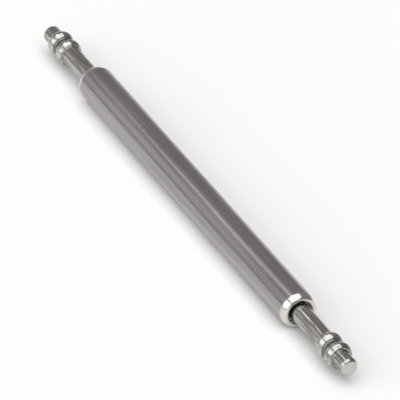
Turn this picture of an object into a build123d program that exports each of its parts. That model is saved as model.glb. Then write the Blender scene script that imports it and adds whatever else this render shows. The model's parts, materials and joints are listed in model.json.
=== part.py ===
from build123d import *
import math
import os
from dataclasses import dataclass

# Spring bar for a watch strap: a thin tube with rolled-in ends holds one coil spring, and the
# spring pushes two turned pins outwards until their heads rest on the rolled lips. The bar lies
# along X with its origin at the middle of the tube, and every length is in millimetres.

# Barrel: drawn tube, both ends rolled in to a lip
barrel_length = 19.2
barrel_diameter = 1.5
barrel_wall = 0.15
roll_reach = 0.32           # length of tube that curves in at each end
roll_turn = 30              # degrees of gentle curve before the tight nose of the roll
lip_thickness = 0.22        # along the axis, from the nose to the inner face of the lip
lip_edge = 0.055            # bevel between the nose and the mouth
lip_corner = 0.06           # bevel of the inside corner between the lip and the bore
mouth_clearance = 0.09      # radial gap between the mouth and a pin's shaft

# Pins: turned in one piece, from the head inside the barrel to the tip outside it
shaft_diameter = 0.82
shaft_exposed = 2.25        # from the barrel's end to the inner shoulder, with the pin fully out
shoulder_diameter = 1.1
shoulder_width = 0.5
flank_length = 0.16         # each shoulder slopes down this far on both sides of its crest
flank_drop = 0.08
groove_diameter = 0.88      # the waist between the two shoulders, by which a pin is drawn in
groove_width = 0.25
tip_diameter = 0.74
tip_length = 0.75
tip_edge = 0.12
head_length = 1.0
head_edge = 0.05
head_clearance = 0.03       # radial gap between a head and the bore
head_seat_gap = 0.02        # between a head and the lip that stops it
spigot_length = 0.9
spigot_edge = 0.08
spigot_clearance = 0.05     # radial gap inside the spring

# Spring: one coil of round wire between the two heads
wire_diameter = 0.2
spring_turns = 24
spring_clearance = 0.06     # radial gap between the coil and the bore
spring_seat_gap = 0.02      # between the coil and each head
wire_sides = 6              # the wire's section is a polygon with the round wire's area
spans_per_turn = 2          # each half turn is one pair of arcs
gap_samples_per_turn = 36

# Sizes that follow from these
barrel_radius = barrel_diameter / 2
bore_radius = barrel_radius - barrel_wall
shaft_radius = shaft_diameter / 2
mouth_radius = shaft_radius + mouth_clearance
nose_radius = mouth_radius + lip_edge
barrel_end = barrel_length / 2
head_radius = bore_radius - head_clearance
head_outer_x = barrel_end - lip_thickness - head_seat_gap
head_inner_x = head_outer_x - head_length
coil_radius = bore_radius - spring_clearance - wire_diameter / 2
spigot_radius = coil_radius - wire_diameter / 2 - spigot_clearance
wire_corner_share = math.sqrt(2 * math.pi / (wire_sides * math.sin(2 * math.pi / wire_sides)))
wire_corner_radius = wire_diameter / 2 * wire_corner_share
coil_end_x = head_inner_x - spring_seat_gap - wire_corner_radius
coil_pitch = 2 * coil_end_x / spring_turns


@dataclass(frozen=True)
class Bevel:
    """A slope at a step's edge: how far it reaches along the step, and how deep it drops."""

    length: float = 0
    drop: float = 0


@dataclass(frozen=True)
class Step:
    """One turned step of a pin: its length, its radius and the bevels at its two edges."""

    length: float
    radius: float
    inner: Bevel = Bevel()
    outer: Bevel = Bevel()


def rolled_end_arcs():
    """The two arcs of the rolled end's outside, from the tube's side to the nose of the lip."""
    drop = barrel_radius - nose_radius
    sine = math.sin(math.radians(roll_turn))
    cosine = math.cos(math.radians(roll_turn))
    # The gentle and the tight radius that share a tangent and end square to the axis
    share = sine * cosine - (1 - sine) * (1 - cosine)
    gentle_radius = (cosine * roll_reach - (1 - sine) * drop) / share
    tight_radius = (sine * drop - (1 - cosine) * roll_reach) / share
    start = Vector(barrel_end - roll_reach, barrel_radius)
    join = start + Vector(gentle_radius * sine, gentle_radius * (cosine - 1))
    nose = join + Vector(tight_radius * (1 - sine), -tight_radius * cosine)
    gentle = TangentArc(start, join, tangent=(1, 0))
    tight = TangentArc(join, nose, tangent=(cosine, -sine))
    return gentle, tight


def make_barrel():
    """The tube: half of its wall's outline, mirrored at the middle and turned about the axis."""
    gentle, tight = rolled_end_arcs()
    lip_inner_x = barrel_end - lip_thickness
    inside = Polyline(
        tight @ 1,
        (barrel_end - lip_edge, mouth_radius),
        (lip_inner_x, mouth_radius),
        (lip_inner_x, bore_radius - lip_corner),
        (lip_inner_x - lip_corner, bore_radius),
        (0, bore_radius),
        (0, barrel_radius),
        gentle @ 0,
    )
    half = revolve(make_face([gentle, tight, inside]), Axis.X)
    return half + mirror(half, about=Plane.YZ)


def turned(start_x, steps):
    """A solid of revolution about X, whose steps follow each other from start_x outwards."""
    points = [(start_x, 0)]
    x = start_x
    for step in steps:
        end = x + step.length
        points.append((x, step.radius - step.inner.drop))
        if step.inner.drop:
            points.append((x + step.inner.length, step.radius))
        if step.outer.drop:
            points.append((end - step.outer.length, step.radius))
        points.append((end, step.radius - step.outer.drop))
        x = end
    points.append((x, 0))
    return revolve(make_face(Polyline(*points, close=True)), Axis.X)


def make_right_pin():
    """The pin at +X: spigot, head, shaft, inner shoulder, groove, outer shoulder and tip."""
    flank = Bevel(flank_length, flank_drop)
    shoulder = Step(shoulder_width, shoulder_diameter / 2, flank, flank)
    head_bevel = Bevel(head_edge, head_edge)
    shaft_length = lip_thickness + head_seat_gap + shaft_exposed
    return turned(
        head_inner_x - spigot_length,
        [
            Step(spigot_length, spigot_radius, inner=Bevel(spigot_edge, spigot_edge)),
            Step(head_length, head_radius, head_bevel, head_bevel),
            Step(shaft_length, shaft_radius),
            shoulder,
            Step(groove_width, groove_diameter / 2),
            shoulder,
            Step(tip_length, tip_diameter / 2, outer=Bevel(tip_edge, tip_edge)),
        ],
    )


def coil_point(turn):
    """The coil's centre line after so many turns, counted from its -X end."""
    angle = 2 * math.pi * turn
    x = coil_pitch * turn - coil_end_x
    return Vector(x, coil_radius * math.cos(angle), coil_radius * math.sin(angle))


def coil_direction(turn):
    """The unit tangent of the coil's centre line after so many turns."""
    angle = 2 * math.pi * turn
    across = 2 * math.pi * coil_radius
    return Vector(coil_pitch, -across * math.sin(angle), across * math.cos(angle)).normalized()


def coil_arcs(first, last):
    """Two arcs that share a tangent and run along the coil from one turn count to another."""
    start, end = coil_point(first), coil_point(last)
    start_way, end_way = coil_direction(first), coil_direction(last)
    chord = end - start
    ways = start_way + end_way
    # The equal tangent lengths at both ends that let two arcs meet halfway
    square = 2 * (1 - start_way.dot(end_way))
    along = 2 * chord.dot(ways)
    root = math.sqrt(along * along + 4 * square * chord.dot(chord))
    reach = (root - along) / (2 * square)
    first_corner = start + start_way * reach
    last_corner = end - end_way * reach
    middle = (first_corner + last_corner) * 0.5
    middle_way = (last_corner - first_corner).normalized()
    return [
        TangentArc(start, middle, tangent=start_way),
        TangentArc(middle, end, tangent=middle_way),
    ]


def make_spring():
    """The coil: a round wire swept along its arcs as one unbroken tube."""
    arcs = []
    for span in range(spring_turns * spans_per_turn):
        arcs += coil_arcs(span / spans_per_turn, (span + 1) / spans_per_turn)
    path = Wire(arcs)
    wire = RegularPolygon(wire_corner_radius, wire_sides)
    spring = sweep(Plane(origin=coil_point(0), z_dir=coil_direction(0)) * wire, path=path)
    full = math.pi * (wire_diameter / 2) ** 2 * path.length
    print(f"spring: wire {path.length:.2f} mm long, volume {spring.volume / full:.4f} of a true wire")
    return spring


def least_coil_gap():
    """The least clear gap between one turn of the coil and the next, measured on points."""
    count = 2 * gap_samples_per_turn
    points = [coil_point(index / gap_samples_per_turn) for index in range(count + 1)]
    apart = gap_samples_per_turn // 2
    gaps = [
        (points[later] - points[earlier]).length
        for earlier in range(count + 1)
        for later in range(earlier + apart, count + 1)
    ]
    return min(gaps) - wire_diameter


def main():
    """Build every piece and write one file for each."""
    right_pin = make_right_pin()
    pieces = {
        "barrel": make_barrel(),
        "spring": make_spring(),
        "pin_right": right_pin,
        "pin_left": mirror(right_pin, about=Plane.YZ),
    }
    os.makedirs("parts", exist_ok=True)
    for node, piece in pieces.items():
        export_step(piece, f"parts/{node}.step")
    total = 2 * (barrel_end + shaft_exposed + 2 * shoulder_width + groove_width + tip_length)
    print(f"over the tips {total:.2f} mm, free travel of a pin under {shaft_exposed:.2f} mm")
    print(f"least gap between turns {least_coil_gap():.3f} mm")


main()
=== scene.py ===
"""A watch strap's spring bar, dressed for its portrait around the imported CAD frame.

The bar lies along X with its origin at the middle of the tube. Every turned piece is drawn as an
outline in millimetres, turned about X with bmesh and then brought to Blender's metres.
"""

import json
import logging
import math
from dataclasses import dataclass
from enum import Enum

import bmesh
import bpy
from mathutils import Matrix, Quaternion, Vector

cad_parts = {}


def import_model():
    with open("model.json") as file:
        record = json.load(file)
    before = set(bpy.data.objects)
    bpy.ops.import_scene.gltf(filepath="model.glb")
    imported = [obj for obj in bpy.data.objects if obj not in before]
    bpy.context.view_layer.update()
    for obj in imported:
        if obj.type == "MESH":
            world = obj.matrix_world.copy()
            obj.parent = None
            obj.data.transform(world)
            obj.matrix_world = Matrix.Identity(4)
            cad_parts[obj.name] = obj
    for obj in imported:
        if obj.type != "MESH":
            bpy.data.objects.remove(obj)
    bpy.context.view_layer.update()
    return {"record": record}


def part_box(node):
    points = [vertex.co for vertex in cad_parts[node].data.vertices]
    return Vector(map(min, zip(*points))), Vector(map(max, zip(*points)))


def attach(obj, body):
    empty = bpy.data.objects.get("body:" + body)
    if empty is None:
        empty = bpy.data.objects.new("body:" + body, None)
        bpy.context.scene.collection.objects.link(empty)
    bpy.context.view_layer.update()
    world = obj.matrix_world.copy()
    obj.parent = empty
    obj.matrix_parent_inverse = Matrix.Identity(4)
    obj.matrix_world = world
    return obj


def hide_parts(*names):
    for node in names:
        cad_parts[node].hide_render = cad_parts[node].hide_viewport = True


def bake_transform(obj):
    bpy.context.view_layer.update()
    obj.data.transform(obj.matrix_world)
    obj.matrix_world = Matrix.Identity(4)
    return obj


logger = logging.getLogger("spring_bar")

MM = 0.001              # one millimetre in Blender's metres
WELD = 0.0001           # vertices closer than this many millimetres are one
GRAIN_ROUGHNESS = 0.6   # how strong the finer layers of a grain are
GRAIN_LAYERS = 2.0      # how many finer layers most grains have
FEW_GRAIN_LAYERS = 1.0  # and those that have to stay plain

# How a screen's colours are coded: a straight line near black, and a power above it
BYTE_MAX = 255
SRGB_LINE_END = 0.04045
SRGB_LINE_SLOPE = 12.92
SRGB_OFFSET = 0.055
SRGB_POWER = 2.4

# A Mix node's sockets share their names, so they go by number
MIX_SHARE = 0
MIX_VALUE_A, MIX_VALUE_B = 2, 3
MIX_COLOUR_A, MIX_COLOUR_B = 6, 7
MIXED_VALUE, MIXED_COLOUR = 0, 2

Feed = bpy.types.NodeSocket | float | tuple[float, ...]
Element = bmesh.types.BMVert | bmesh.types.BMEdge


class Side(Enum):
    """Which end of the bar a piece belongs to, as the sign of its place along X."""

    RIGHT = 1
    LEFT = -1


class Slot(Enum):
    """The record's material slots."""

    BARREL = "barrel_steel"
    PIN = "pin_steel"
    SPRING = "spring_steel"


def linear(hex_colour: str) -> tuple[float, float, float, float]:
    """Turns a colour as it is seen on a screen into the linear one that a shader takes.

    Args:
        hex_colour: An sRGB colour such as "c8c6c2".

    Returns:
        Linear red, green and blue, and an alpha of 1.
    """
    channels = []
    for byte in bytes.fromhex(hex_colour):
        value = byte / BYTE_MAX
        if value <= SRGB_LINE_END:
            channels.append(value / SRGB_LINE_SLOPE)
        else:
            channels.append(((value + SRGB_OFFSET) / (1 + SRGB_OFFSET)) ** SRGB_POWER)
    return (*channels, 1.0)


def add_node(
    tree: bpy.types.NodeTree,
    kind: str,
    feeds: dict[str | int, Feed] | None = None,
    **settings: object,
) -> bpy.types.Node:
    """Adds one shader node with its settings and whatever goes into its sockets.

    Args:
        tree: The node tree of a material or of the world.
        kind: Blender's name for the type of node.
        feeds: For each socket, by name or number, the output linked to it or its plain value.
        settings: Properties of the node itself, such as its operation.

    Returns:
        The new node.
    """
    node = tree.nodes.new(kind)
    for name, value in settings.items():
        setattr(node, name, value)
    for socket, feed in (feeds or {}).items():
        if isinstance(feed, bpy.types.NodeSocket):
            tree.links.new(feed, node.inputs[socket])
        else:
            node.inputs[socket].default_value = feed
    return node


def new_material(name: str) -> tuple[bpy.types.Material, bpy.types.NodeTree]:
    """Starts a material with an empty node tree.

    Args:
        name: What the material is called.

    Returns:
        The material and its node tree.
    """
    material = bpy.data.materials.new(name)
    material.use_nodes = True
    material.node_tree.nodes.clear()
    return material, material.node_tree


def grain(
    tree: bpy.types.NodeTree,
    place: bpy.types.NodeSocket,
    size: tuple[float, float, float],
    layers: float = GRAIN_LAYERS,
) -> bpy.types.NodeSocket:
    """A grain pattern that has its own real size along each axis.

    Args:
        tree: The node tree that gets it.
        place: The coordinates in metres that it reads.
        size: Length of one grain along X, Y and Z in millimetres.
        layers: How many finer layers it has.

    Returns:
        The pattern, from 0 to 1.
    """
    scale = tuple(1 / (length * MM) for length in size)
    mapping = add_node(tree, "ShaderNodeMapping", {"Vector": place, "Scale": scale})
    noise = add_node(
        tree,
        "ShaderNodeTexNoise",
        {"Vector": mapping.outputs["Vector"], "Scale": 1.0, "Detail": layers,
         "Roughness": GRAIN_ROUGHNESS},
    )
    return noise.outputs["Fac"]


@dataclass(frozen=True)
class DrawnTubeSteel:
    """Austenitic stainless steel, cold drawn to a thin tube and rolled in at both ends.

    The drawing die leaves fine lines along the tube, so reflections break into soft lengthwise
    streaks. The rolling tool burnishes the ends, which shine whiter than the rest. Lengths in mm.
    """

    name: str = "drawn_stainless_tube"
    steel: str = "aaa6a8"
    shadow_steel: str = "969293"        # the slightly browner tone between the die lines
    burnished_steel: str = "d8d5d1"
    roughness: float = 0.27
    roughness_spread: float = 0.08
    burnished_roughness: float = 0.16
    line_length: float = 5.0
    line_width: float = 0.055           # real die lines are 0.01 mm: drawn as wide as they show
    line_height: float = 0.0012
    line_range: tuple[float, float] = (0.3, 0.7)        # of the noise, which seldom leaves it
    burnished_line_share: float = 0.25                  # how much of the lines burnishing leaves
    tone_length: float = 9.0
    tone_width: float = 0.22
    tone_range: tuple[float, float] = (0.35, 0.65)      # of the noise, from steel to shadow_steel
    wave_length: float = 2.6            # of the slight unevenness of the tube's side
    wave_width: float = 0.8
    wave_height: float = 0.006

    def material(self, burnish_from: float, burnish_to: float) -> bpy.types.Material:
        """Builds the finish.

        Args:
            burnish_from: Distance from the bar's middle, in mm, where the burnishing starts.
            burnish_to: Distance where it is complete.

        Returns:
            The material.
        """
        material, tree = new_material(self.name)
        place = add_node(tree, "ShaderNodeTexCoord").outputs["Object"]
        across = add_node(tree, "ShaderNodeSeparateXYZ", {"Vector": place})
        reach = add_node(tree, "ShaderNodeMath", {0: across.outputs["X"]}, operation="ABSOLUTE")
        burnish = add_node(
            tree,
            "ShaderNodeMapRange",
            {"Value": reach.outputs["Value"], "From Min": burnish_from * MM,
             "From Max": burnish_to * MM},
            interpolation_type="SMOOTHSTEP",
        ).outputs["Result"]

        lines = grain(tree, place, (self.line_length, self.line_width, self.line_width))
        tones = grain(tree, place, (self.tone_length, self.tone_width, self.tone_width))
        waves = grain(
            tree, place, (self.wave_length, self.wave_width, self.wave_width), FEW_GRAIN_LAYERS
        )

        tone = add_node(
            tree,
            "ShaderNodeMapRange",
            {"Value": tones, "From Min": self.tone_range[0], "From Max": self.tone_range[1]},
        )
        drawn_colour = add_node(
            tree,
            "ShaderNodeMix",
            {MIX_SHARE: tone.outputs["Result"], MIX_COLOUR_A: linear(self.steel),
             MIX_COLOUR_B: linear(self.shadow_steel)},
            data_type="RGBA",
        )
        colour = add_node(
            tree,
            "ShaderNodeMix",
            {MIX_SHARE: burnish, MIX_COLOUR_A: drawn_colour.outputs[MIXED_COLOUR],
             MIX_COLOUR_B: linear(self.burnished_steel)},
            data_type="RGBA",
        )
        drawn_roughness = add_node(
            tree,
            "ShaderNodeMapRange",
            {"Value": lines, "From Min": self.line_range[0], "From Max": self.line_range[1],
             "To Min": self.roughness - self.roughness_spread,
             "To Max": self.roughness + self.roughness_spread},
        )
        roughness = add_node(
            tree,
            "ShaderNodeMix",
            {MIX_SHARE: burnish, MIX_VALUE_A: drawn_roughness.outputs["Result"],
             MIX_VALUE_B: self.burnished_roughness},
        )
        line_strength = add_node(
            tree,
            "ShaderNodeMapRange",
            {"Value": burnish, "To Min": 1.0, "To Max": self.burnished_line_share},
        )
        waved = add_node(
            tree, "ShaderNodeBump", {"Height": waves, "Distance": self.wave_height * MM}
        )
        lined = add_node(
            tree,
            "ShaderNodeBump",
            {"Height": lines, "Distance": self.line_height * MM,
             "Strength": line_strength.outputs["Result"], "Normal": waved.outputs["Normal"]},
        )
        shader = add_node(
            tree,
            "ShaderNodeBsdfPrincipled",
            {"Base Color": colour.outputs[MIXED_COLOUR], "Metallic": 1.0,
             "Roughness": roughness.outputs[MIXED_VALUE], "Normal": lined.outputs["Normal"]},
        )
        add_node(tree, "ShaderNodeOutputMaterial", {"Surface": shader.outputs["BSDF"]})
        return material


@dataclass(frozen=True)
class TurnedPinSteel:
    """Austenitic stainless steel, turned on a small lathe from bar.

    The cutting edge leaves rings round the pin and round its faces. Its oil leaves darker, rougher
    smears along the pin, the way it slides in its tube. The tips' ends, and the shoulders' crests
    between the smears, are rubbed bright by what they bear on. The groove between the shoulders is
    given the smears' darker colour and roughness as painted shade.
    Lengths in mm.
    """

    name: str = "turned_stainless_pin"
    steel: str = "b3b1ae"
    # Real oil smears take this darker steel, and the groove takes it too as painted shade
    smear_and_groove_shade_steel: str = "807e7a"
    rubbed_steel: str = "c3c2bf"
    roughness: float = 0.14
    dull_roughness: float = 0.32
    rubbed_roughness: float = 0.17
    rubbed_depth: float = 0.05          # below the crest and inwards of the end
    rubbed_blend: float = 0.04          # how far the rubbing takes to fade out
    groove_shade_blend: float = 0.02          # and the groove's painted shade
    ring_pitch: float = 0.07            # real feed marks are 0.02 mm: drawn as wide as they show
    ring_run: float = 2.0               # how far round the pin one mark stays alike
    ring_height: float = 0.0007
    smear_length: float = 1.2
    smear_width: float = 0.14
    smear_range: tuple[float, float] = (0.42, 0.62)     # of the noise, from clean to smeared
    smear_share: float = 0.85                           # how dull the dullest smear is

    def material(
        self, groove_from: float, groove_to: float, crest: float, end: float
    ) -> bpy.types.Material:
        """Builds the finish.

        Args:
            groove_from: Distance from the bar's middle, in mm, where the groove starts.
            groove_to: Distance where it ends.
            crest: Radius of the shoulders' crests.
            end: Distance where the tip ends.

        Returns:
            The material.
        """
        material, tree = new_material(self.name)
        place = add_node(tree, "ShaderNodeTexCoord").outputs["Object"]
        across = add_node(tree, "ShaderNodeSeparateXYZ", {"Vector": place})
        flat = add_node(
            tree, "ShaderNodeCombineXYZ", {"Y": across.outputs["Y"], "Z": across.outputs["Z"]}
        )
        radius = add_node(
            tree, "ShaderNodeVectorMath", {0: flat.outputs["Vector"]}, operation="LENGTH"
        ).outputs["Value"]
        reach = add_node(tree, "ShaderNodeMath", {0: across.outputs["X"]}, operation="ABSOLUTE")
        turned_place = add_node(
            tree,
            "ShaderNodeCombineXYZ",
            {"X": across.outputs["X"], "Y": radius, "Z": across.outputs["Z"]},
        ).outputs["Vector"]

        rings = grain(
            tree,
            turned_place,
            (self.ring_pitch, self.ring_pitch, self.ring_run),
            FEW_GRAIN_LAYERS,
        )
        smears = grain(tree, place, (self.smear_length, self.smear_width, self.smear_width))

        groove_middle = (groove_from + groove_to) / 2
        off_middle = add_node(
            tree,
            "ShaderNodeMath",
            {0: reach.outputs["Value"], 1: groove_middle * MM},
            operation="SUBTRACT",
        )
        off_groove = add_node(
            tree, "ShaderNodeMath", {0: off_middle.outputs["Value"]}, operation="ABSOLUTE"
        )
        half_groove = (groove_to - groove_from) / 2
        # The groove's mask: painted shade, which gives the groove the smears' darker colour
        groove = add_node(
            tree,
            "ShaderNodeMapRange",
            {"Value": off_groove.outputs["Value"], "From Min": half_groove * MM,
             "From Max": (half_groove + self.groove_shade_blend) * MM, "To Min": 1.0, "To Max": 0.0},
        )
        rubbed_parts = [
            add_node(
                tree,
                "ShaderNodeMapRange",
                {"Value": distance,
                 "From Min": (limit - self.rubbed_depth - self.rubbed_blend) * MM,
                 "From Max": (limit - self.rubbed_depth) * MM},
            ).outputs["Result"]
            for distance, limit in ((radius, crest), (reach.outputs["Value"], end))
        ]
        smeared = add_node(
            tree,
            "ShaderNodeMapRange",
            {"Value": smears, "From Min": self.smear_range[0], "From Max": self.smear_range[1],
             "To Max": self.smear_share},
        ).outputs["Result"]
        clean = add_node(tree, "ShaderNodeMath", {0: 1.0, 1: smeared}, operation="SUBTRACT")
        rubbed_crest = add_node(
            tree,
            "ShaderNodeMath",
            {0: rubbed_parts[0], 1: clean.outputs["Value"]},
            operation="MULTIPLY",
        )
        rubbed = add_node(
            tree,
            "ShaderNodeMath",
            {0: rubbed_crest.outputs["Value"], 1: rubbed_parts[1]},
            operation="MAXIMUM",
        ).outputs["Value"]
        # Real oil smears, together with the groove's painted shade
        smear_and_groove_shade = add_node(
            tree,
            "ShaderNodeMath",
            {0: smeared, 1: groove.outputs["Result"]},
            operation="MAXIMUM",
        ).outputs["Value"]
        plain_colour = add_node(
            tree,
            "ShaderNodeMix",
            {MIX_SHARE: smear_and_groove_shade, MIX_COLOUR_A: linear(self.steel),
             MIX_COLOUR_B: linear(self.smear_and_groove_shade_steel)},
            data_type="RGBA",
        )
        colour = add_node(
            tree,
            "ShaderNodeMix",
            {MIX_SHARE: rubbed, MIX_COLOUR_A: plain_colour.outputs[MIXED_COLOUR],
             MIX_COLOUR_B: linear(self.rubbed_steel)},
            data_type="RGBA",
        )
        plain_roughness = add_node(
            tree,
            "ShaderNodeMix",
            {MIX_SHARE: smear_and_groove_shade, MIX_VALUE_A: self.roughness, MIX_VALUE_B: self.dull_roughness},
        )
        roughness = add_node(
            tree,
            "ShaderNodeMix",
            {MIX_SHARE: rubbed, MIX_VALUE_A: plain_roughness.outputs[MIXED_VALUE],
             MIX_VALUE_B: self.rubbed_roughness},
        )
        ringed = add_node(
            tree, "ShaderNodeBump", {"Height": rings, "Distance": self.ring_height * MM}
        )
        shader = add_node(
            tree,
            "ShaderNodeBsdfPrincipled",
            {"Base Color": colour.outputs[MIXED_COLOUR], "Metallic": 1.0,
             "Roughness": roughness.outputs[MIXED_VALUE], "Normal": ringed.outputs["Normal"]},
        )
        add_node(tree, "ShaderNodeOutputMaterial", {"Surface": shader.outputs["BSDF"]})
        return material


@dataclass(frozen=True)
class SpringWireSteel:
    """Stainless spring wire, drawn hard and coiled.

    Its drawing soap leaves it grey, unevenly stained and finely pitted. Lengths in mm.
    """

    name: str = "drawn_spring_wire"
    steel: str = "b4b1ac"
    stain: str = "8c8780"
    roughness: float = 0.3
    blotch: float = 0.4                 # how large a stain is
    blotch_range: tuple[float, float] = (0.4, 0.7)      # of the noise, from clean to stained
    pit: float = 0.03                   # how large a pit is
    pit_height: float = 0.0006

    def material(self) -> bpy.types.Material:
        """Builds the finish.

        Returns:
            The material.
        """
        material, tree = new_material(self.name)
        place = add_node(tree, "ShaderNodeTexCoord").outputs["Object"]
        blotches = grain(tree, place, (self.blotch, self.blotch, self.blotch))
        pits = grain(tree, place, (self.pit, self.pit, self.pit))
        share = add_node(
            tree,
            "ShaderNodeMapRange",
            {"Value": blotches, "From Min": self.blotch_range[0],
             "From Max": self.blotch_range[1]},
        )
        colour = add_node(
            tree,
            "ShaderNodeMix",
            {MIX_SHARE: share.outputs["Result"], MIX_COLOUR_A: linear(self.steel),
             MIX_COLOUR_B: linear(self.stain)},
            data_type="RGBA",
        )
        pitted = add_node(
            tree, "ShaderNodeBump", {"Height": pits, "Distance": self.pit_height * MM}
        )
        shader = add_node(
            tree,
            "ShaderNodeBsdfPrincipled",
            {"Base Color": colour.outputs[MIXED_COLOUR], "Metallic": 1.0, "Roughness": self.roughness,
             "Normal": pitted.outputs["Normal"]},
        )
        add_node(tree, "ShaderNodeOutputMaterial", {"Surface": shader.outputs["BSDF"]})
        return material


@dataclass(frozen=True)
class MattTable:
    """White matt laminate. It scatters light evenly, so it stays plain up to its far edge."""

    name: str = "matt_white_laminate"
    white: str = "fbfbfa"
    shade: str = "f7f7f6"
    roughness: float = 0.7
    specular_level: float = 0.1
    cloud: float = 40.0                 # how large its faint clouds of tone are, in mm

    def material(self) -> bpy.types.Material:
        """Builds the finish.

        Returns:
            The material.
        """
        material, tree = new_material(self.name)
        place = add_node(tree, "ShaderNodeTexCoord").outputs["Object"]
        clouds = grain(tree, place, (self.cloud, self.cloud, self.cloud))
        colour = add_node(
            tree,
            "ShaderNodeMix",
            {MIX_SHARE: clouds, MIX_COLOUR_A: linear(self.white),
             MIX_COLOUR_B: linear(self.shade)},
            data_type="RGBA",
        )
        shader = add_node(
            tree,
            "ShaderNodeBsdfPrincipled",
            {"Base Color": colour.outputs[MIXED_COLOUR], "Roughness": self.roughness,
             "Specular IOR Level": self.specular_level},
        )
        add_node(tree, "ShaderNodeOutputMaterial", {"Surface": shader.outputs["BSDF"]})
        return material


@dataclass(frozen=True)
class Corner:
    """One corner of a turned outline in mm, and how far from it its rounding begins."""

    x: float
    radius: float
    setback: float = 0.0


@dataclass(frozen=True)
class Lathe:
    """Turns outlines about X."""

    steps: int = 128                # round the axis
    curve_segments: int = 8         # along each rounded corner
    longest_run: float = 0.6        # straight stretches are divided so that none is longer, in mm

    def outline(self, corners: list[Corner], closed: bool) -> bmesh.types.BMesh:
        """Draws an outline above the X axis.

        Args:
            corners: Its corners in order.
            closed: Whether the last corner joins the first.

        Returns:
            A bmesh with the outline's vertices and edges, in mm.
        """
        bm = bmesh.new()
        points = [bm.verts.new((corner.x, 0, corner.radius)) for corner in corners]
        followers = points[1:] + points[:1] if closed else points[1:]
        for point, follower in zip(points, followers):
            bm.edges.new((point, follower))
        for point, corner in zip(points, corners):
            if corner.setback:
                bmesh.ops.bevel(
                    bm,
                    geom=[point],
                    offset=corner.setback,
                    offset_type="OFFSET",
                    affect="VERTICES",
                    segments=self.curve_segments,
                    profile=0.5,
                    material=-1,
                )
        for edge in list(bm.edges):
            cuts = int(edge.calc_length() / self.longest_run)
            if cuts:
                bmesh.ops.subdivide_edges(bm, edges=[edge], cuts=cuts)
        return bm

    def turn(self, corners: list[Corner], closed: bool = False) -> bmesh.types.BMesh:
        """Turns an outline into a closed solid's skin.

        Args:
            corners: The outline's corners. An open outline starts and ends on the axis.
            closed: Whether the outline is a loop, as of a tube's wall.

        Returns:
            A bmesh in mm.
        """
        bm = self.outline(corners, closed)
        bmesh.ops.spin(
            bm,
            geom=bm.verts[:] + bm.edges[:],
            cent=(0, 0, 0),
            axis=(1, 0, 0),
            dvec=(0, 0, 0),
            angle=math.tau,
            steps=self.steps,
            use_merge=True,
            use_duplicate=False,
        )
        # An outline's end on the axis has become one vertex for every step
        bmesh.ops.remove_doubles(bm, verts=bm.verts, dist=WELD)
        bmesh.ops.recalc_face_normals(bm, faces=bm.faces)
        return bm


def finished_piece(
    name: str, bm: bmesh.types.BMesh, material: bpy.types.Material, weighted: bool = True
) -> bpy.types.Object:
    """Makes a shown object of a bmesh that was drawn in millimetres.

    Args:
        name: The piece's name.
        bm: Its shape. It is freed.
        material: Its finish.
        weighted: Whether large faces keep their own normals beside rounded corners.

    Returns:
        The object, at the origin, with its place in its mesh.
    """
    bmesh.ops.scale(bm, vec=(MM, MM, MM), verts=bm.verts)
    for face in bm.faces:
        face.smooth = True
    mesh = bpy.data.meshes.new(name)
    bm.to_mesh(mesh)
    bm.free()
    mesh.materials.append(material)
    piece = bpy.data.objects.new(name, mesh)
    bpy.context.scene.collection.objects.link(piece)
    if weighted:
        normals = piece.modifiers.new("large_faces_first", "WEIGHTED_NORMAL")
        normals.keep_sharp = False
    return piece


@dataclass(frozen=True)
class Barrel:
    """The drawn tube, whose ends are rolled in to lips that hold the pins' heads. In mm."""

    half_length: float
    radius: float
    wall: float = 0.15
    roll_slope: float = 30.0            # degrees between the tube's side and the gentle roll
    roll_start: float = 0.32            # from the tube's end to where it begins to curve in
    gentle_setback: float = 0.1316      # from each curve's own corner to where it begins
    tight_setback: float = 0.086
    mouth_radius: float = 0.5
    mouth_edge: float = 0.05            # rounding of the mouth outside, and half of it inside
    lip_thickness: float = 0.22
    lip_corner: float = 0.06
    burnish_before: float = 0.06        # how far the burnishing fades out before the roll starts
    burnish_after: float = 0.13         # how far into the roll it is complete

    def right_half(self) -> list[Corner]:
        """The outline's corners at +X, from the outside to the bore.

        Returns:
            The corners.
        """
        bore = self.radius - self.wall
        roll_x = self.half_length - self.roll_start + self.gentle_setback
        drop = (self.half_length - roll_x) * math.tan(math.radians(self.roll_slope))
        lip_inner_x = self.half_length - self.lip_thickness
        return [
            Corner(roll_x, self.radius, self.gentle_setback),
            Corner(self.half_length, self.radius - drop, self.tight_setback),
            Corner(self.half_length, self.mouth_radius, self.mouth_edge),
            Corner(lip_inner_x, self.mouth_radius, self.mouth_edge / 2),
            Corner(lip_inner_x, bore, self.lip_corner),
        ]

    def build(self) -> bpy.types.Object:
        """Makes the tube and puts it in the CAD tube's place.

        Returns:
            The tube.
        """
        right = self.right_half()
        left = [Corner(-corner.x, corner.radius, corner.setback) for corner in reversed(right)]
        bm = Lathe().turn(right + left, closed=True)
        roll_from = self.half_length - self.roll_start
        material = DrawnTubeSteel().material(
            roll_from - self.burnish_before, roll_from + self.burnish_after
        )
        tube = finished_piece("barrel_tube", bm, material)
        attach(tube, "barrel")
        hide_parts("barrel")
        return tube


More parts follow.
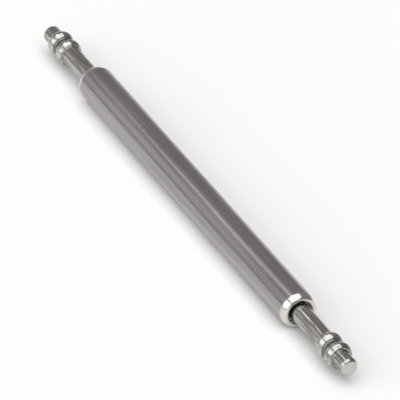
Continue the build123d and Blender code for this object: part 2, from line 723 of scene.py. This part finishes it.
@dataclass(frozen=True)
class Pin:
    """One turned pin: spigot, head, shaft, two shoulders with a groove between, and tip. In mm."""

    side: Side
    spigot_x: float                     # where the pin starts inside the spring
    end_x: float
    head_radius: float
    groove_x: float                     # the groove's middle
    groove_radius: float
    groove_width: float
    tip_radius: float
    spigot_radius: float = 0.29
    spigot_length: float = 0.9
    head_length: float = 1.0
    shaft_radius: float = 0.41
    shoulder_radius: float = 0.55
    shoulder_width: float = 0.5
    shoulder_slope: float = 0.16        # length of each sloping flank of a shoulder
    shoulder_drop: float = 0.08         # how much lower the flank's foot is than the crest
    shoulder_crown: float = 0.095       # how far the crest's rounding reaches either way
    spigot_edge: float = 0.08
    head_edge: float = 0.05
    shoulder_edge: float = 0.03
    shaft_root: float = 0.04
    groove_root: float = 0.025
    tip_root: float = 0.03
    tip_edge: float = 0.13
    tip_crown: float = 0.02             # how far the end face bulges
    tip_crown_radius: float = 0.15      # where the bulge levels out
    tip_crown_setback: float = 0.08
    steps: int = 112                    # round the axis

    def corners(self) -> list[Corner]:
        """The outline's corners at +X, from the axis inside the spring to the axis at the tip.

        Returns:
            The corners.
        """
        head_x = self.spigot_x + self.spigot_length
        shaft_x = head_x + self.head_length
        groove_start = self.groove_x - self.groove_width / 2
        groove_end = self.groove_x + self.groove_width / 2
        inner_x = groove_start - self.shoulder_width
        tip_x = groove_end + self.shoulder_width
        foot_radius = self.shoulder_radius - self.shoulder_drop
        return [
            Corner(self.spigot_x, 0),
            Corner(self.spigot_x, self.spigot_radius, self.spigot_edge),
            Corner(head_x, self.spigot_radius, self.groove_root),
            Corner(head_x, self.head_radius, self.head_edge),
            Corner(shaft_x, self.head_radius, self.head_edge),
            Corner(shaft_x, self.shaft_radius, self.groove_root),
            Corner(inner_x, self.shaft_radius, self.shaft_root),
            Corner(inner_x, foot_radius, self.shoulder_edge),
            Corner(inner_x + self.shoulder_slope, self.shoulder_radius, self.shoulder_crown),
            Corner(groove_start - self.shoulder_slope, self.shoulder_radius, self.shoulder_crown),
            Corner(groove_start, foot_radius, self.groove_root),
            Corner(groove_start, self.groove_radius),
            Corner(groove_end, self.groove_radius),
            Corner(groove_end, foot_radius, self.groove_root),
            Corner(groove_end + self.shoulder_slope, self.shoulder_radius, self.shoulder_crown),
            Corner(tip_x - self.shoulder_slope, self.shoulder_radius, self.shoulder_crown),
            Corner(tip_x, foot_radius, self.shoulder_edge),
            Corner(tip_x, self.tip_radius, self.tip_root),
            Corner(self.end_x - self.tip_crown, self.tip_radius, self.tip_edge),
            Corner(self.end_x, self.tip_crown_radius, self.tip_crown_setback),
            Corner(self.end_x, 0),
        ]

    def build(self, material: bpy.types.Material) -> bpy.types.Object:
        """Makes the pin and puts it in its CAD pin's place.

        Args:
            material: The pins' finish.

        Returns:
            The pin.
        """
        node = f"pin_{self.side.name.lower()}"
        bm = Lathe(steps=self.steps).turn(self.corners())
        if self.side is Side.LEFT:
            bmesh.ops.scale(bm, vec=(-1, 1, 1), verts=bm.verts)
            bmesh.ops.recalc_face_normals(bm, faces=bm.faces)
        pin = finished_piece(f"{node}_turned", bm, material)
        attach(pin, node)
        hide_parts(node)
        return pin


@dataclass(frozen=True)
class SpringHalf:
    """Half of the coil spring, from the bar's middle to one head. In mm."""

    side: Side
    end_x: float                        # where the wire's outside meets the head
    coil_radius: float = 0.44
    wire_radius: float = 0.1
    turns: int = 12
    closed_turns: int = 1               # wound tight where the spring pushes on the head
    closed_pitch: float = 0.215
    wire_sides: int = 12
    steps_per_turn: int = 40

    def section(self, pitch: float) -> Matrix:
        """Where the wire's round section stands at the bar's middle.

        Args:
            pitch: How far one turn moves along the bar.

        Returns:
            Its place and direction.
        """
        way = Vector((self.side.value * pitch, 0, self.side.value * math.tau * self.coil_radius))
        turn = Vector((0, 0, 1)).rotation_difference(way)
        return Matrix.Translation((0, self.coil_radius, 0)) @ turn.to_matrix().to_4x4()

    def wind(
        self, bm: bmesh.types.BMesh, geometry: list[Element], turns: int, pitch: float
    ) -> list[Element]:
        """Winds the wire on by whole turns.

        Args:
            bm: The bmesh that holds the wire.
            geometry: The section to wind on from.
            turns: How many turns.
            pitch: How far one turn moves along the bar.

        Returns:
            The section at the new end.
        """
        step = self.side.value * pitch / self.steps_per_turn
        wound = bmesh.ops.spin(
            bm,
            geom=geometry,
            cent=(0, 0, 0),
            axis=(1, 0, 0),
            dvec=(step, 0, 0),
            angle=self.side.value * math.tau * turns,
            steps=turns * self.steps_per_turn,
            use_merge=False,
            use_duplicate=False,
        )
        return wound["geom_last"]

    def build(self, material: bpy.types.Material) -> bpy.types.Object:
        """Makes the half between the bar's middle and its head.

        Args:
            material: The wire's finish.

        Returns:
            The half spring.
        """
        closed_length = self.closed_turns * self.closed_pitch
        open_turns = self.turns - self.closed_turns
        pitch = (self.end_x - self.wire_radius - closed_length) / open_turns
        bm = bmesh.new()
        bmesh.ops.create_circle(
            bm, segments=self.wire_sides, radius=self.wire_radius, matrix=self.section(pitch)
        )
        end = self.wind(bm, bm.verts[:] + bm.edges[:], open_turns, pitch)
        self.wind(bm, end, self.closed_turns, self.closed_pitch)
        open_edges = [edge for edge in bm.edges if edge.is_boundary]
        bmesh.ops.holes_fill(bm, edges=open_edges, sides=self.wire_sides)
        bmesh.ops.recalc_face_normals(bm, faces=bm.faces)

        half = finished_piece(
            f"spring_{self.side.name.lower()}_half", bm, material, weighted=False
        )
        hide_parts("spring")
        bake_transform(half)
        return half


@dataclass(frozen=True)
class Softbox:
    """A rectangular lamp that faces the bar. Angles in degrees, lengths in metres."""

    name: str
    azimuth: float                      # 0 stands on the -Y side, 90 on the +X side
    elevation: float
    distance: float
    width: float
    height: float
    radiance: float                     # how bright its face is, where 1 is white paper
    slide: float = 0.0                  # moved this far towards +X, without turning
    colour: str = "fdfffe"

    def build(self) -> None:
        """Hangs the lamp."""
        lamp = bpy.data.lights.new(self.name, "AREA")
        lamp.shape = "RECTANGLE"
        lamp.size = self.width
        lamp.size_y = self.height
        # The power that gives a flat lamp this radiance
        lamp.energy = math.pi * self.width * self.height * self.radiance
        lamp.color = linear(self.colour)[:3]
        softbox = bpy.data.objects.new(self.name, lamp)
        bpy.context.scene.collection.objects.link(softbox)
        back = direction(self.azimuth, self.elevation)
        softbox.location = back * self.distance + Vector((self.slide, 0, 0))
        softbox.rotation_euler = (-back).to_track_quat("-Z", "Y").to_euler()


def direction(azimuth: float, elevation: float) -> Vector:
    """The way from the bar to something that looks at it.

    Args:
        azimuth: Degrees round the bar: 0 is -Y, and 90 is +X.
        elevation: Degrees above the table.

    Returns:
        A unit vector.
    """
    turn, rise = math.radians(azimuth), math.radians(elevation)
    level = math.cos(rise)
    return Vector((math.sin(turn) * level, -math.cos(turn) * level, math.sin(rise)))


@dataclass(frozen=True)
class Studio:
    """The pale table, the soft lamps and the dim room round them. In metres."""

    table_z: float
    table_name: str = "studio_table"
    table_radius: float = 3.0
    table_sides: int = 96
    room: float = 0.24                  # how bright the room is, where 1 is white paper
    room_colour: str = "fffafa"
    softboxes: tuple[Softbox, ...] = (
        Softbox(
            "low_softbox", azimuth=0, elevation=25.5, distance=0.60,
            width=1.60, height=0.45, radiance=1.45, slide=0.39,
        ),
        Softbox(
            "overhead_softbox", azimuth=0, elevation=85, distance=0.60,
            width=1.60, height=0.72, radiance=1.45, slide=0.39,
        ),
        Softbox(
            "end_panel", azimuth=-90, elevation=24, distance=0.50,
            width=0.90, height=0.44, radiance=0.14, colour="fffafa",
        ),
        Softbox(
            "side_panel", azimuth=-54, elevation=19, distance=0.40,
            width=0.20, height=0.16, radiance=0.36,
        ),
        Softbox(
            "strip_light", azimuth=-74.5, elevation=47.7, distance=0.06,
            width=0.010, height=0.021, radiance=1.5,
        ),
    )

    def build(self) -> None:
        """Lays the table and lights it."""
        bm = bmesh.new()
        bmesh.ops.create_circle(
            bm, cap_ends=True, segments=self.table_sides, radius=self.table_radius
        )
        bmesh.ops.translate(bm, vec=(0, 0, self.table_z), verts=bm.verts)
        mesh = bpy.data.meshes.new(self.table_name)
        bm.to_mesh(mesh)
        bm.free()
        mesh.materials.append(MattTable().material())
        table = bpy.data.objects.new(self.table_name, mesh)
        bpy.context.scene.collection.objects.link(table)
        for softbox in self.softboxes:
            softbox.build()
        world = bpy.data.worlds.new("dim_room")
        bpy.context.scene.world = world
        world.use_nodes = True
        world.node_tree.nodes.clear()
        background = add_node(
            world.node_tree,
            "ShaderNodeBackground",
            {"Color": linear(self.room_colour), "Strength": self.room},
        )
        add_node(
            world.node_tree, "ShaderNodeOutputWorld", {"Surface": background.outputs["Background"]}
        )


@dataclass(frozen=True)
class PortraitCamera:
    """The camera, at the photograph's angle. Angles in degrees, lengths in metres."""

    name: str = "portrait_camera"
    azimuth: float = 63.4
    elevation: float = 30.9
    distance: float = 0.2456
    roll: float = 2.6
    lens: float = 560.0                 # in mm, and so is the sensor's width
    sensor: float = 36.0
    nearest: float = 0.01               # what is nearer or farther than these isn't drawn
    farthest: float = 20.0
    aim: tuple[float, float, float] = (0.00055, 0.0, 0.0)       # the point that it looks at

    def build(self) -> None:
        """Places the camera and makes it the scene's own."""
        data = bpy.data.cameras.new(self.name)
        data.lens = self.lens
        data.sensor_width = self.sensor
        data.clip_start = self.nearest
        data.clip_end = self.farthest
        camera = bpy.data.objects.new(self.name, data)
        bpy.context.scene.collection.objects.link(camera)
        back = direction(self.azimuth, self.elevation)
        camera.location = Vector(self.aim) + back * self.distance
        camera.rotation_mode = "QUATERNION"
        level = (-back).to_track_quat("-Z", "Y")
        camera.rotation_quaternion = level @ Quaternion((0, 0, 1), math.radians(self.roll))
        bpy.context.scene.camera = camera


def box_in_mm(node: str) -> tuple[Vector, Vector]:
    """A CAD node's lowest and highest corners in mm.

    Args:
        node: The node's name.

    Returns:
        The two corners.
    """
    low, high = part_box(node)
    return low / MM, high / MM


def make_pin(side: Side, record: dict) -> Pin:
    """Reads one pin's sizes from the frame.

    Args:
        side: The pin's end of the bar.
        record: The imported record, whose mounts give the groove's and the tip's sizes.

    Returns:
        The pin.
    """
    name = side.name.lower()
    mounts = {mount["name"]: mount for mount in record["mounts"]}
    groove = mounts[f"tool_groove_{name}"]
    tip = mounts[f"tip_{name}"]
    low, high = box_in_mm(f"pin_{name}")
    return Pin(
        side=side,
        spigot_x=min(abs(low.x), abs(high.x)),
        end_x=max(abs(low.x), abs(high.x)),
        head_radius=high.y,
        groove_x=abs(groove["pos_m"][0]) / MM,
        groove_radius=groove["dims"]["r_mm"],
        groove_width=groove["dims"]["length_mm"],
        tip_radius=tip["dims"]["r_mm"],
    )


def report(piece: bpy.types.Object) -> None:
    """Says in the log what was made.

    Args:
        piece: The finished piece.
    """
    logger.info("%s: %d faces", piece.name, len(piece.data.polygons))


def main() -> None:
    """Builds the bar's pieces in order, then the studio and the camera."""
    logging.basicConfig(level=logging.INFO, format="%(name)s: %(message)s")
    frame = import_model()
    bpy.context.scene.view_settings.view_transform = "Standard"

    low, high = box_in_mm("barrel")
    barrel = Barrel(half_length=high.x, radius=high.z)
    report(barrel.build())

    pins = [make_pin(side, frame["record"]) for side in Side]
    groove_from = pins[0].groove_x - pins[0].groove_width / 2
    groove_to = pins[0].groove_x + pins[0].groove_width / 2
    pin_material = TurnedPinSteel().material(
        groove_from, groove_to, pins[0].shoulder_radius, pins[0].end_x
    )
    for pin in pins:
        report(pin.build(pin_material))

    spring_material = SpringWireSteel().material()
    _, spring_high = box_in_mm("spring")
    for side in Side:
        report(SpringHalf(side, end_x=spring_high.x).build(spring_material))

    Studio(table_z=low.z * MM).build()
    PortraitCamera().build()


if __name__ == "__main__":
    main()
